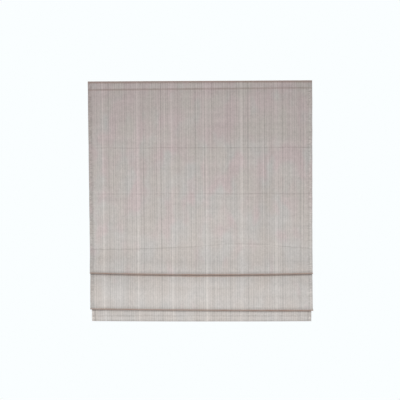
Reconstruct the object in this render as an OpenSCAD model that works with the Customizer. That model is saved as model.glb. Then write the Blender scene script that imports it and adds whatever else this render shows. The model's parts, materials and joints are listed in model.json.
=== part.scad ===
// Roman blind on a sprung headrail, hung in front of a window, part drawn up.
// The wall is the plane y = 0 and the cloth faces -Y. The origin is the centre of the wall screws.

/* [Cloth] */
// Finished width at the top edge
blind_w = 1200; // [800:10:1600]
// Thickness of the lined cloth
cloth_t = 1.2; // [0.8:0.1:1.6]
// Depth of the top band, from the top edge to its seam
top_band = 40; // [36:1:60]
// How far the cloth's top edge stands above the headrail's bracket
top_rise = 1; // [0.5:0.5:4]
// How much the left edge draws in, top to hem
draw_in_left = 13; // [0:1:20]
// How much the right edge draws in, top to hem
draw_in_right = 2; // [0:1:20]
// Step from the lower fold's edge to the hem's edge, each side
hem_step = 6; // [0:0.5:8]

/* [Rods and folds, measured down from the top edge] */
// First rod pocket
rod_1_drop = 358; // [300:1:400]
// Second rod pocket
rod_2_drop = 605; // [500:1:700]
// Third rod pocket, from which the first fold hangs
rod_3_drop = 888; // [800:1:920]
// Fourth rod pocket, drawn up behind the first fold
rod_4_drop = 960; // [940:1:990]
// Lower edge of the first fold
fold_1_drop = 1036; // [1020:1:1100]
// Fifth rod pocket, drawn up behind the second fold
rod_5_drop = 1170; // [1140:1:1185]
// Lower edge of the second fold
fold_2_drop = 1227; // [1210:1:1240]
// Stitch line of the bottom hem
hem_stitch_drop = 1255; // [1248:1:1258]
// Bottom edge of the hem
bottom_drop = 1285; // [1284:1:1310]
// Half the depth of a fold's lower edge, at the middle of the cloth
fold_r = 8; // [6:0.5:14]
// Height over which a fold's lower edge rounds
fold_h = 28; // [16:1:36]
// Where the first fold leans most: 1 for near its foot, -1 for near its head
fold_1_belly = 0.5; // [-1:0.05:1]
// Where the second fold leans most: 1 for near its foot, -1 for near its head
fold_2_belly = -1; // [-1:0.05:1]
// Half the distance between the two layers that hang from a drawn-up pocket
layer_offset = 1.6; // [1.4:0.1:1.8]

/* [Rods and rings] */
// Diameter of a stiffening rod
rod_d = 4; // [3:0.1:4.4]
// Gap all round a rod in its pocket
rod_gap = 0.6; // [0.4:0.1:0.9]
// How far a rod ends inside the cloth's top corner
rod_inset = 22; // [20:1:60]
// Radius of a cord ring, at the middle of its wire
ring_r = 5; // [4:0.5:7]
// Diameter of a ring's wire
ring_wire_d = 2.2; // [1.6:0.1:3]
// Gap between a ring and the pocket that it is sewn to
ring_gap = 0.3; // [0.3:0.1:0.6]
// Cord diameter
cord_d = 1.5; // [1:0.1:1.8]
// Distance of the outer cords from the cloth's edges
cord_inset = 150; // [130:5:250]

/* [Bottom bar] */
// Height of the flat bar
bar_h = 22; // [16:1:23]
// Thickness of the flat bar
bar_t = 4; // [2:0.5:5]
// Wall of the bar's end caps
bar_cap_wall = 0.6; // [0.4:0.1:1]
// Length of a bar end cap over the bar
bar_cap_l = 12; // [8:1:20]
// Thickness of a bar end cap beyond the bar
bar_cap_end = 2; // [1:0.5:4]
// How far the bar's caps end inside the cloth's top corner
bar_inset = 24; // [24:1:60]
// Gap round the end caps in the hem
hem_gap = 0.4; // [0.3:0.1:0.6]

/* [Headrail] */
// Depth of the headrail, front to back
rail_d = 30; // [29:1:40]
// Height of the headrail
rail_h = 36; // [35:1:45]
// Wall of the headrail
rail_wall = 1.5; // [1:0.1:1.8]
// Width of the headrail's inturned lips
rail_lip = 4; // [2:0.5:5]
// How far the headrail's caps end inside the cloth, each side
rail_inset = 5; // [2:1:20]
// Thickness of an end cap's plate
end_cap_t = 3; // [2:0.5:5]
// Depth of an end cap's plug
end_cap_plug = 12; // [8:1:20]
// Gap round pieces that slide into the headrail
slide_gap = 0.2; // [0.1:0.1:0.4]
// Thickness of each half of the hook and loop tape
tape_t = 1.2; // [0.8:0.1:2]
// Width of the hook and loop tape
tape_w = 25; // [16:1:26]
// Height of the tape's lower edge above the headrail's floor
tape_rise = 2; // [0:0.5:3]

/* [Wall brackets] */
// Distance of a bracket's centre from the cloth's edge
bracket_inset = 100; // [50:5:105]
// Width of a bracket
bracket_w = 40; // [24:1:50]
// Thickness of the bracket's plate
bracket_t = 2; // [1.5:0.1:3]
// Distance between a bracket's two screw holes
screw_pitch = 18; // [14:1:30]
// Diameter of a wall screw's hole
screw_hole_d = 4.5; // [3.5:0.1:5.5]
// Plate left beyond a screw hole's centre
screw_edge = 10; // [6:0.5:14]
// Length of the shelf under the headrail
shelf_l = 10; // [6:1:10]
// Depth of the lip in front of the headrail
lip_h = 5; // [3:0.5:5]

/* [Lift gear] */
// Height of the shaft above the headrail's underside
shaft_rise = 17; // [15:0.5:18]
// Hexagon shaft, across its flats
shaft_af = 5; // [4:0.1:5.4]
// How far the shaft stands past the outer cords
shaft_over = 30; // [20:1:60]
// Radius of a spool's drum
drum_r = 6; // [5.5:0.1:6.5]
// Length of a spool's drum
drum_l = 16; // [12:1:24]
// Radius of a spool's flanges
flange_r = 8.5; // [8:0.1:9]
// Thickness of a spool's flanges
flange_t = 2; // [1:0.5:3]
// Radius of the journals on the spools and the arbor
journal_r = 4; // [3.8:0.1:4.4]
// Running clearance of a journal, all round
journal_gap = 0.05; // [0.02:0.01:0.08]
// Clearance of the hexagon shaft in its bores, across each flat
hex_gap = 0.05; // [0.02:0.01:0.1]
// Gap beside a turning piece
side_gap = 0.3; // [0.3:0.1:0.6]
// Thickness of a cradle's cheeks
cheek_t = 3; // [2:0.5:5]
// Thickness of a cradle's base
cradle_base = 2; // [1:0.5:2.5]
// Width of the mouth over a cradle's bore, as a share of the bore
cradle_mouth = 0.86; // [0.8:0.01:0.95]
// Turns of cord wound on each drum
wound_turns = 3; // [1:1:4]
// Outer radius of a cord grommet's tube
grommet_r = 3; // [2.4:0.1:3.4]
// Radius of a cord grommet's flange
grommet_flange_r = 4.5; // [4:0.1:6]
// Thickness of a cord grommet's flange
grommet_flange_t = 1; // [0.6:0.1:1.5]
// Gap round the cord in its grommet and anchor
cord_gap = 0.5; // [0.3:0.1:0.8]
// Radius of a cord anchor
anchor_r = 5.4; // [5.2:0.1:6]
// Height of a cord anchor
anchor_h = 8; // [5:0.5:12]

/* [Spring motor] */
// Distance of the motor's middle from the right-hand cord
motor_inset = 225; // [60:5:260]
// Length of the motor
motor_l = 50; // [36:1:80]
// Thickness of the motor's end walls
motor_end = 4; // [3:0.5:6]
// Radius of the spring's chamber
chamber_r = 9.8; // [9.5:0.1:9.9]
// Wall over the spring's chamber
chamber_roof = 2.2; // [1.5:0.1:3]
// Radius of the spring's arbor
arbor_r = 5.5; // [5:0.1:5.6]
// Thickness of the spring band
band_t = 0.4; // [0.3:0.05:0.5]
// Turns of the spring band
band_turns = 4; // [3:1:4]
// Diameter of the motor's screws
motor_screw_d = 2.5; // [2:0.1:3]
// Depth of the motor's screws in the housing
motor_screw_depth = 9; // [6:0.5:11]
// Radius of a motor screw's head
screw_head_r = 2.2; // [1.8:0.1:2.5]
// Height of a motor screw's head
screw_head_h = 1.4; // [1:0.1:2]

/* [Hidden] */
$fn = 48;
// Overshoot of a cutting shape
eps = 0.5;
// Straight steps in the drawn curves: a layer's front, its back, a fold's lower edge and a hem's corner
front_steps = 18;
back_steps = 6;
turn_steps = 24;
corner_steps = 4;
// Sides of the thinnest round pieces
cord_sides = 16;
wire_sides = 24;

// Heights
screw_z = screw_pitch / 2;
plate_bottom = -screw_z - screw_edge;
rail_z = screw_z + screw_edge + bracket_t;
rail_top = rail_z + rail_h;
floor_z = rail_z + rail_wall;
top_z = rail_top + bracket_t + top_rise;
rod_drops = [rod_1_drop, rod_2_drop, rod_3_drop, rod_4_drop, rod_5_drop];
rod_z = [for (d = rod_drops) top_z - d];
fold_1_z = top_z - fold_1_drop;
fold_2_z = top_z - fold_2_drop;
stitch_z = top_z - hem_stitch_drop;
bottom_z = top_z - bottom_drop;
shaft_z = rail_z + shaft_rise;

// Depths, from the wall forwards
rail_back_y = -bracket_t;
rail_front_y = rail_back_y - rail_d;
tape_meet_y = rail_front_y - tape_t;
cloth_back_y = tape_meet_y - tape_t;
cloth_y = cloth_back_y - cloth_t / 2;
pocket_r = rod_d / 2 + rod_gap;
pocket_or = pocket_r + cloth_t;
// Film of cloth left between a rod pocket and the back of the panel
pocket_film = 0.2;
pocket_y = cloth_back_y + pocket_film + pocket_r;
front_layer_y = pocket_y - layer_offset;
rear_layer_y = pocket_y + layer_offset;
cord_y = pocket_y + pocket_or + ring_gap + ring_wire_d / 2 + ring_r;
shaft_y = cord_y + cord_d / 2 + side_gap + drum_r;

// Lengths
cord_span = blind_w - 2 * cord_inset;
bracket_span = blind_w - 2 * bracket_inset;
motor_x = cord_span / 2 - motor_inset;
rail_l = blind_w - 2 * rail_inset - 2 * end_cap_t;
rod_l = blind_w - 2 * rod_inset;
bar_l = blind_w - 2 * bar_inset - 2 * bar_cap_end;
shaft_l = cord_span + 2 * shaft_over;
spool_half = drum_l / 2 + flange_t;
cheek_x = spool_half + side_gap;
hex_r = shaft_af / sqrt(3);
cord_x = [-cord_span / 2, 0, cord_span / 2];

// Points of a layer of cloth that hangs from one place to another, with its lean near one end by a belly
function hang(y0, z0, y1, z1, n, belly = 0) =
    [for (i = [0:n]) let (s = i / n)
        [y0 + (y1 - y0) * (s + belly * s * (s - 1)), z0 + (z1 - z0) * s]];

// Points round the lower edge of a fold, front to back
function fold(y, z) =
    [for (i = [1:turn_steps - 1]) let (a = 180 + 180 * i / turn_steps)
        [y + fold_r * cos(a), z + fold_h * sin(a)]];

// Direction across a path at one of its points
function across(p, i) =
    let (d = p[min(i + 1, len(p) - 1)] - p[max(i - 1, 0)])
    [-d[1], d[0]] / norm(d);

// Outline of a band of cloth that follows a path
function band(p, t) = concat(
    [for (i = [0:len(p) - 1]) p[i] + across(p, i) * t / 2],
    [for (i = [len(p) - 1:-1:0]) p[i] - across(p, i) * t / 2]);

// Runs a profile drawn in y and z along X
module along_x(x0, x1) {
    translate([x0, 0, 0]) rotate([90, 0, 90]) linear_extrude(x1 - x0) children();
}

// Round bar along X at a place in y and z
module round_x(r, x0, x1, y, z) {
    translate([x0, y, z]) rotate([0, 90, 0]) cylinder(r = r, h = x1 - x0);
}

// Hexagon bar along X on the shaft's axis
module hex_x(r, x0, x1) {
    translate([x0, shaft_y, shaft_z]) rotate([0, 90, 0]) cylinder(r = r, h = x1 - x0, $fn = 6);
}

// Box given by its two corners
module block(low, high) {
    translate(low) cube(high - low);
}

// Turned layer of a fold: down the front, round the lower edge and up behind
function fold_path(start_y, start_z, edge_z, end_z, belly) =
    let (back_y = front_layer_y - layer_offset / 2)
    let (mid_y = back_y - fold_r)
    let (mid_z = edge_z + fold_h + cloth_t / 2)
    concat(
        hang(start_y, start_z, mid_y - fold_r, mid_z, front_steps, belly),
        fold(mid_y, mid_z),
        hang(back_y, mid_z, front_layer_y, end_z, back_steps));

main_path = concat(
    [[cloth_y, top_z]],
    fold_path(cloth_y, rod_z[2], fold_1_z, rod_z[3], fold_1_belly));
second_path = concat(
    [[rear_layer_y, rod_z[3]]],
    fold_path(rear_layer_y, fold_1_z, fold_2_z, rod_z[4], fold_2_belly));

// Hem round the bottom bar
hem_front_y = rear_layer_y - cloth_t / 2;
slot_front_y = rear_layer_y + cloth_t / 2;
slot_t = bar_t + 2 * (bar_cap_wall + hem_gap);
slot_h = bar_h + 2 * (bar_cap_wall + hem_gap);
slot_z = bottom_z + cloth_t;
hem_back_y = slot_front_y + slot_t + cloth_t;
hem_corner = cloth_t * 2;
bar_y = slot_front_y + slot_t / 2;
bar_z = slot_z + slot_h / 2;

// Points round a lower corner of the hem, from one angle on through a right angle
function hem_turn(y, start) =
    [for (i = [0:corner_steps]) let (a = start + 90 * i / corner_steps)
        [y + hem_corner * cos(a), bottom_z + hem_corner + hem_corner * sin(a)]];

function hem_outline() = concat(
    [[hem_front_y, rod_z[4]]],
    hem_turn(hem_front_y + hem_corner, 180),
    hem_turn(hem_back_y - hem_corner, 270),
    hang(hem_back_y, slot_z + slot_h, slot_front_y, stitch_z + cloth_t, back_steps),
    [[slot_front_y, rod_z[4]]]);

// Front outline of the hanging cloth, drawn in a little towards the hem
module cloth_outline() {
    left = -blind_w / 2;
    right = blind_w / 2;
    step_z = fold_2_z - eps;
    polygon([
        [left, top_z], [right, top_z],
        [right - draw_in_right, step_z], [right - draw_in_right - hem_step, step_z],
        [right - draw_in_right - hem_step, bottom_z], [left + draw_in_left + hem_step, bottom_z],
        [left + draw_in_left + hem_step, step_z], [left + draw_in_left, step_z]]);
}

module blind_fabric() {
    half = blind_w / 2 + eps;
    color("#BFB7B1")
    intersection() {
        difference() {
            union() {
                along_x(-half, half) polygon(band(main_path, cloth_t));
                along_x(-half, half) polygon(band(second_path, cloth_t));
                along_x(-half, half) polygon(hem_outline());
                for (z = rod_z) round_x(pocket_or, -half, half, pocket_y, z);
            }
            for (z = rod_z) round_x(pocket_r, -half - eps, half + eps, pocket_y, z);
            along_x(-half - eps, half + eps) translate([slot_front_y, slot_z]) square([slot_t, slot_h]);
        }
        rotate([90, 0, 0]) linear_extrude(-cloth_y + 2 * fold_r + eps) cloth_outline();
    }
}

module tape(front_y, shade) {
    z = rail_z + tape_rise;
    color(shade) block([-rail_l / 2, front_y, z], [rail_l / 2, front_y + tape_t, z + tape_w]);
}

module loop_tape() {
    tape(cloth_back_y, "#D9D6D0");
}

module hook_tape() {
    tape(tape_meet_y, "#E8E6E1");
}

// Section of the headrail: a channel, open upwards, with inturned lips
module rail_section() {
    difference() {
        translate([rail_front_y, rail_z]) square([rail_d, rail_h]);
        translate([rail_front_y + rail_wall, floor_z])
            square([rail_d - 2 * rail_wall, rail_h - 2 * rail_wall]);
        translate([rail_front_y + rail_lip, rail_top - rail_wall - eps])
            square([rail_d - 2 * rail_lip, rail_wall + 2 * eps]);
    }
}

module grommet_holes() {
    for (x = cord_x) translate([x, cord_y, rail_z - eps])
        cylinder(r = grommet_r + slide_gap, h = rail_wall + 2 * eps);
}

module headrail() {
    color("#E6E6E4")
    difference() {
        along_x(-rail_l / 2, rail_l / 2) rail_section();
        grommet_holes();
    }
}

module end_cap(side) {
    x = side * rail_l / 2;
    front_y = rail_front_y + rail_wall + slide_gap;
    back_y = rail_back_y - rail_wall - slide_gap;
    color("#EFEFEC")
    mirror([side < 0 ? 1 : 0, 0, 0]) union() {
        block([abs(x), rail_front_y, rail_z], [abs(x) + end_cap_t, rail_back_y, rail_top]);
        block([abs(x) - end_cap_plug, front_y, floor_z],
            [abs(x) + end_cap_t / 2, back_y, rail_top - rail_wall - slide_gap]);
    }
}

module end_cap_left() {
    end_cap(-1);
}

module end_cap_right() {
    end_cap(1);
}

module bracket(x) {
    half = bracket_w / 2;
    color("#D5D7D8")
    difference() {
        translate([x, 0, 0]) union() {
            block([-half, -bracket_t, plate_bottom], [half, 0, rail_top + bracket_t]);
            block([-half, tape_meet_y, rail_top], [half, 0, rail_top + bracket_t]);
            block([-half, tape_meet_y, rail_top - lip_h], [half, rail_front_y, rail_top + bracket_t]);
            block([-half, -bracket_t - shelf_l, rail_z - bracket_t], [half, 0, rail_z]);
        }
        for (z = [-screw_z, screw_z]) translate([x, eps, z]) rotate([90, 0, 0])
            cylinder(d = screw_hole_d, h = bracket_t + 2 * eps);
    }
}

module bracket_left() {
    bracket(-bracket_span / 2);
}

module bracket_right() {
    bracket(bracket_span / 2);
}

module lift_shaft() {
    color("#A9ACB0") hex_x(hex_r, -shaft_l / 2, shaft_l / 2);
}

module spool(x) {
    end = cheek_x + cheek_t + side_gap;
    color("#F2F1EE")
    difference() {
        union() {
            round_x(journal_r, x - end, x + end, shaft_y, shaft_z);
            round_x(drum_r, x - drum_l / 2 - flange_t / 2, x + drum_l / 2 + flange_t / 2, shaft_y, shaft_z);
            for (s = [-1, 1]) translate([x + s * (drum_l + flange_t) / 2, 0, 0])
                round_x(flange_r, -flange_t / 2, flange_t / 2, shaft_y, shaft_z);
        }
        hex_x(hex_r + hex_gap, x - end - eps, x + end + eps);
    }
}

module spool_left() {
    spool(cord_x[0]);
}

module spool_centre() {
    spool(cord_x[1]);
}

module spool_right() {
    spool(cord_x[2]);
}

// Cord already wound on the drums, beside where each cord leaves
module cord_windings() {
    wound_l = wound_turns * cord_d;
    color("#F4F2EC")
    for (x = cord_x) translate([x - cord_d / 2 - side_gap - wound_l, 0, 0]) difference() {
        round_x(drum_r + cord_d, 0, wound_l, shaft_y, shaft_z);
        round_x(drum_r, -eps, wound_l + eps, shaft_y, shaft_z);
    }
}

module cradle(x) {
    half = cheek_x + cheek_t;
    front_y = rail_front_y + rail_wall + slide_gap;
    back_y = rail_back_y - rail_wall - slide_gap;
    bore_r = journal_r + journal_gap;
    mouth = bore_r * cradle_mouth;
    color("#E9E8E4")
    difference() {
        translate([x, 0, 0]) union() {
            block([-half, front_y, floor_z], [half, back_y, floor_z + cradle_base]);
            for (s = [-1, 1]) translate([s * (cheek_x + cheek_t / 2), 0, 0])
                block([-cheek_t / 2, front_y, floor_z], [cheek_t / 2, back_y, shaft_z + journal_r]);
        }
        round_x(bore_r, x - half - eps, x + half + eps, shaft_y, shaft_z);
        block([x - half - eps, shaft_y - mouth, shaft_z],
            [x + half + eps, shaft_y + mouth, shaft_z + journal_r + eps]);
        translate([x, cord_y, floor_z - eps])
            cylinder(r = grommet_r + slide_gap, h = cradle_base + 2 * eps);
    }
}

module cradle_left() {
    cradle(cord_x[0]);
}

module cradle_centre() {
    cradle(cord_x[1]);
}

module cradle_right() {
    cradle(cord_x[2]);
}

// Flanged bushes that lead the cords through the headrail's floor
module cord_grommets() {
    color("#F4F4F0")
    for (x = cord_x) translate([x, cord_y, rail_z]) difference() {
        union() {
            translate([0, 0, -grommet_flange_t]) cylinder(r = grommet_flange_r, h = grommet_flange_t);
            translate([0, 0, -grommet_flange_t / 2])
                cylinder(r = grommet_r, h = grommet_flange_t / 2 + rail_wall + cradle_base);
        }
        translate([0, 0, -grommet_flange_t - eps])
            cylinder(r = cord_d / 2 + cord_gap, h = grommet_flange_t + rail_wall + cradle_base + 2 * eps);
    }
}

motor_front_y = rail_front_y + rail_wall + slide_gap;
motor_back_y = rail_back_y - rail_wall - slide_gap;
motor_low_x = motor_x - motor_l / 2;
motor_high_x = motor_x + motor_l / 2;
motor_top = shaft_z + chamber_r + chamber_roof;
motor_screw_y = (motor_front_y + shaft_y - chamber_r) / 2;
motor_screw_x = [motor_low_x + motor_end, motor_high_x - motor_end];

// Space inside the motor: the spring's chamber and the arbor's two bearings
module motor_space() {
    round_x(chamber_r, motor_low_x + motor_end, motor_high_x - motor_end, shaft_y, shaft_z);
    round_x(journal_r + journal_gap, motor_low_x - eps, motor_high_x + eps, shaft_y, shaft_z);
}

// Screw hole from the parting face, down into the housing or up through the cover
module motor_screw_holes(low, high, gap) {
    for (x = motor_screw_x) translate([x, motor_screw_y, low])
        cylinder(d = motor_screw_d + 2 * gap, h = high - low);
}

module motor_housing() {
    color("#DADAD6")
    difference() {
        block([motor_low_x, motor_front_y, floor_z], [motor_high_x, motor_back_y, shaft_z]);
        motor_space();
        motor_screw_holes(shaft_z - motor_screw_depth - eps, shaft_z + eps, journal_gap);
    }
}

module motor_cover() {
    color("#E2E2DE")
    difference() {
        block([motor_low_x, motor_front_y, shaft_z], [motor_high_x, motor_back_y, motor_top]);
        motor_space();
        motor_screw_holes(shaft_z - eps, motor_top + eps, slide_gap);
    }
}

module motor_arbor() {
    body = motor_l / 2 - motor_end - side_gap;
    end = motor_l / 2 + side_gap;
    color("#C9C9C4")
    difference() {
        union() {
            round_x(arbor_r, motor_x - body, motor_x + body, shaft_y, shaft_z);
            round_x(journal_r, motor_x - end, motor_x + end, shaft_y, shaft_z);
        }
        hex_x(hex_r + hex_gap, motor_x - end - eps, motor_x + end + eps);
    }
}

// Spring band wound from the arbor out to the chamber's wall
module clock_spring() {
    steps = 30;
    inner = arbor_r + side_gap + band_t / 2;
    outer = chamber_r - side_gap - band_t / 2;
    spiral = [for (i = [0:band_turns * steps])
        let (r = inner + (outer - inner) * i / (band_turns * steps))
        [shaft_y + r * cos(360 * i / steps), shaft_z + r * sin(360 * i / steps)]];
    half = motor_l / 2 - motor_end - 2 * side_gap;
    color("#8E9296") along_x(motor_x - half, motor_x + half) polygon(band(spiral, band_t));
}

module motor_screws() {
    color("#B9BCC0") union() {
        motor_screw_holes(shaft_z - motor_screw_depth, motor_top + screw_head_h / 2, 0);
        for (x = motor_screw_x) translate([x, motor_screw_y, motor_top])
            cylinder(r = screw_head_r, h = screw_head_h);
    }
}

anchor_top = rod_z[4] - ring_wire_d / 2 - slide_gap;

// Cord from its drum, through the grommet and the rings, into its anchor
module lift_cord(x) {
    end_z = anchor_top - anchor_h + cord_d;
    color("#F4F2EC") translate([x, cord_y, end_z])
        cylinder(d = cord_d, h = shaft_z - end_z, $fn = cord_sides);
}

module lift_cord_left() {
    lift_cord(cord_x[0]);
}

module lift_cord_centre() {
    lift_cord(cord_x[1]);
}

module lift_cord_right() {
    lift_cord(cord_x[2]);
}

module cord_anchors() {
    color("#EDEBE5")
    for (x = cord_x) translate([x, cord_y, anchor_top - anchor_h]) difference() {
        cylinder(r = anchor_r, h = anchor_h);
        translate([0, 0, -eps]) cylinder(r = cord_d / 2 + cord_gap, h = anchor_h + 2 * eps);
    }
}

module rod(i) {
    color("#E4E1D8") round_x(rod_d / 2, -rod_l / 2, rod_l / 2, pocket_y, rod_z[i]);
}

module rings(i) {
    color("#F3F2EF")
    for (x = cord_x) translate([x, cord_y, rod_z[i]])
        rotate_extrude() translate([ring_r, 0]) circle(d = ring_wire_d, $fn = wire_sides);
}

// Flat bar with rounded edges
module bar_section(grow) {
    edge = bar_h / 2 - bar_t / 2;
    translate([bar_y - bar_t / 2 - grow, bar_z - edge]) square([bar_t + 2 * grow, 2 * edge]);
    for (s = [-1, 1]) translate([bar_y, bar_z + s * edge]) circle(r = bar_t / 2 + grow);
}

module bottom_bar() {
    color("#D3D5D6") along_x(-bar_l / 2, bar_l / 2) bar_section(0);
}

module bar_cap(side) {
    end = bar_l / 2;
    color("#EFEFEC")
    mirror([side < 0 ? 1 : 0, 0, 0]) difference() {
        along_x(end - bar_cap_l, end + bar_cap_end) bar_section(bar_cap_wall);
        along_x(end - bar_cap_l - eps, end) bar_section(0);
    }
}

module bar_cap_left() {
    bar_cap(-1);
}

module bar_cap_right() {
    bar_cap(1);
}

blind_fabric();
loop_tape();
hook_tape();
headrail();
end_cap_left();
end_cap_right();
bracket_left();
bracket_right();
lift_shaft();
spool_left();
spool_centre();
spool_right();
cord_windings();
cradle_left();
cradle_centre();
cradle_right();
cord_grommets();
motor_housing();
motor_cover();
motor_arbor();
clock_spring();
motor_screws();
lift_cord_left();
lift_cord_centre();
lift_cord_right();
cord_anchors();
for (i = [1:5]) rod(i - 1);
for (i = [1:5]) rings(i - 1);
bottom_bar();
bar_cap_left();
bar_cap_right();
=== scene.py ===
# A roman blind of slub-striped cloth, part drawn up into two hanging folds, on a sprung headrail.
import json
import math

import bpy
from mathutils import Matrix, Vector, noise


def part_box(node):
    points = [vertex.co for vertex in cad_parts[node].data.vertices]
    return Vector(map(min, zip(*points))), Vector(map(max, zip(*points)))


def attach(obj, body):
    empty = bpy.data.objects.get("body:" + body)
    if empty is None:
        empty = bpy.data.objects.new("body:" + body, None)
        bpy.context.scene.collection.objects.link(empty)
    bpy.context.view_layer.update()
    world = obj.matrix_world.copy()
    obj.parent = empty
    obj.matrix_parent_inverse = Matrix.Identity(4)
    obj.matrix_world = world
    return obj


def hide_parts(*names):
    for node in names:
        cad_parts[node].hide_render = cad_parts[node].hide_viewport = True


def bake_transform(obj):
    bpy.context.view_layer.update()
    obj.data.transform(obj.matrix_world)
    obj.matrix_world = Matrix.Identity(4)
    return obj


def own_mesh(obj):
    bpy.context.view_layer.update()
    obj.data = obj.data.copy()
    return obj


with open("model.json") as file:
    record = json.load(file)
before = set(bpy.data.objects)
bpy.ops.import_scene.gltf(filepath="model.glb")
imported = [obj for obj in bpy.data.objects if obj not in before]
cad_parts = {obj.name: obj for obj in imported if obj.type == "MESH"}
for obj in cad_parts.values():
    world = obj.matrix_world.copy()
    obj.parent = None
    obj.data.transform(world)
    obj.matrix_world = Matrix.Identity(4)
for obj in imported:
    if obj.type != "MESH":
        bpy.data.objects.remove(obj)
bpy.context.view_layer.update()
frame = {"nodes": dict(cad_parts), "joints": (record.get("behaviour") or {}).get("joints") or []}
bpy.ops.object.select_all(action="DESELECT")


# Wall brackets and headrail
# Two pressed steel brackets screw to the wall and hold a channel of drawn aluminium.
# Both are powder coated: a satin skin with a faint orange peel and slightly uneven gloss.
MM = 0.001


class Tone:
    """A socket in a material's node tree. Arithmetic on it adds Math nodes to that tree."""

    def __init__(self, tree, socket):
        self.tree = tree
        self.socket = socket

    def node(self, kind, settings=None, inputs=None, output=0):
        """Adds a node of any kind: first its settings, then the values or links of its sockets."""
        made = self.tree.nodes.new(kind)
        for key, value in (settings or {}).items():
            if key == "stops":
                ramp = made.color_ramp.elements
                while len(ramp) < len(value):
                    ramp.new(1.0)
                for stop, (place, shade) in zip(ramp, value):
                    stop.position = place
                    stop.color = (shade, shade, shade, 1)
            else:
                setattr(made, key, value)
        for key, value in (inputs or {}).items():
            if isinstance(value, Tone):
                self.tree.links.new(value.socket, made.inputs[key])
            else:
                made.inputs[key].default_value = value
        return Tone(self.tree, made.outputs[output]) if made.outputs else None

    def math(self, operation, a, b=0.0):
        return self.node("ShaderNodeMath", {"operation": operation}, {0: a, 1: b})

    def __add__(self, other):
        return self.math("ADD", self, other)

    __radd__ = __add__

    def __sub__(self, other):
        return self.math("SUBTRACT", self, other)

    def __rsub__(self, other):
        return self.math("SUBTRACT", other, self)

    def __mul__(self, other):
        return self.math("MULTIPLY", self, other)

    __rmul__ = __mul__

    def clipped(self):
        """This value, kept from 0 to 1."""
        return self.node("ShaderNodeClamp", inputs={"Value": self})

    def axis(self, number):
        """One of this vector's three parts."""
        return self.node("ShaderNodeSeparateXYZ", inputs={"Vector": self}, output=number)

    def line(self, at, half):
        """1 where this value is the one given, falling to 0 half a line's width to each side."""
        return (1 - self.math("ABSOLUTE", self - at) * (1 / half)).clipped()

    def grain(self, scale, detail=2.0):
        """Noise on this vector, with so many grains to the metre along each axis; it stays around 0.5."""
        place = self.node("ShaderNodeMapping", inputs={"Vector": self, "Scale": scale})
        return self.node("ShaderNodeTexNoise", inputs={"Vector": place, "Scale": 1.0, "Detail": detail})

    def blend(self, low, high):
        """A colour between two, by this value."""
        return self.node("ShaderNodeMixRGB", inputs={"Fac": self, "Color1": low, "Color2": high})

    def bump(self, strength, distance):
        """A normal that follows this height."""
        inputs = {"Strength": strength, "Distance": distance, "Height": self}
        return self.node("ShaderNodeBump", inputs=inputs)


def start_finish(name, coordinates="Object"):
    """A new material, and the coordinates that its pattern follows."""
    material = bpy.data.materials.new(name)
    material.use_nodes = True
    tree = material.node_tree
    tree.nodes.clear()
    return material, Tone(tree, tree.nodes.new("ShaderNodeTexCoord").outputs[coordinates])


def close_finish(place, **sockets):
    """Ends a material with its shader. An underscore in a socket's name stands for a space."""
    named = {key.replace("_", " "): value for key, value in sockets.items()}
    shader = place.node("ShaderNodeBsdfPrincipled", inputs=named)
    place.node("ShaderNodeOutputMaterial", inputs={"Surface": shader})


def rgb(red, green, blue):
    """A colour as seen on a screen, 0 to 255, in the shader's linear units."""
    parts = [v / 255 for v in (red, green, blue)]
    return [v / 12.92 if v <= 0.04045 else ((v + 0.055) / 1.055) ** 2.4 for v in parts] + [1.0]


def dress(material, *names):
    """Gives CAD nodes a finish."""
    for name in names:
        slots = frame["nodes"][name].data.materials
        slots.clear()
        slots.append(material)


def powder_coat(name, dark, light):
    material, place = start_finish(name)
    cloudy = place.grain((30, 60, 60))
    peel = place.grain((900, 900, 900), 1.0)
    close_finish(
        place,
        Base_Color=cloudy.blend(dark, light),
        Roughness=0.34 + cloudy * 0.16,
        Normal=peel.bump(0.12, 0.4 * MM),
    )
    return material


rail_coat = powder_coat("rail_coat", rgb(221, 221, 218), rgb(234, 234, 231))
dress(rail_coat, "headrail")
bracket_coat = powder_coat("bracket_coat", rgb(203, 206, 207), rgb(217, 219, 220))
dress(bracket_coat, "bracket_left", "bracket_right")


# End caps, cradles, spools and the rest of the moulded pieces
# Acetal mouldings, white but for the pale grey motor. The skin is matt, with a fine spark-eroded texture
# and faint flow marks.
def moulded(name, dark, light, rough):
    material, place = start_finish(name)
    flow = place.grain((25, 90, 90))
    skin = place.grain((2200, 2200, 2200), 1.0)
    close_finish(
        place,
        Base_Color=flow.blend(dark, light),
        Roughness=rough + flow * 0.12,
        Normal=skin.bump(0.15, 0.2 * MM),
    )
    return material


white_moulding = moulded("white_moulding", rgb(228, 228, 223), rgb(240, 240, 236), 0.42)
dress(
    white_moulding,
    "end_cap_left", "end_cap_right", "cradle_left", "cradle_centre", "cradle_right",
    "spool_left", "spool_centre", "spool_right", "cord_grommets", "cord_anchors",
    "bar_cap_left", "bar_cap_right",
)
grey_moulding = moulded("grey_moulding", rgb(206, 206, 202), rgb(220, 220, 216), 0.46)
dress(grey_moulding, "motor_housing", "motor_cover", "motor_arbor")


# Shaft, spring, screws and bottom bar
# Drawn hexagon steel for the shaft, rolled band for the clock spring, plated steel for the screws and drawn
# aluminium for the bar. All have fine draw marks along X, which catch the light in streaks.
def drawn_metal(name, dark, light, rough):
    material, place = start_finish(name)
    marks = place.grain((6, 2600, 2600), 3.0)
    close_finish(
        place,
        Base_Color=marks.blend(dark, light),
        Metallic=1.0,
        Roughness=rough + marks * 0.2,
        Normal=marks.bump(0.2, 0.1 * MM),
    )
    return material


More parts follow.
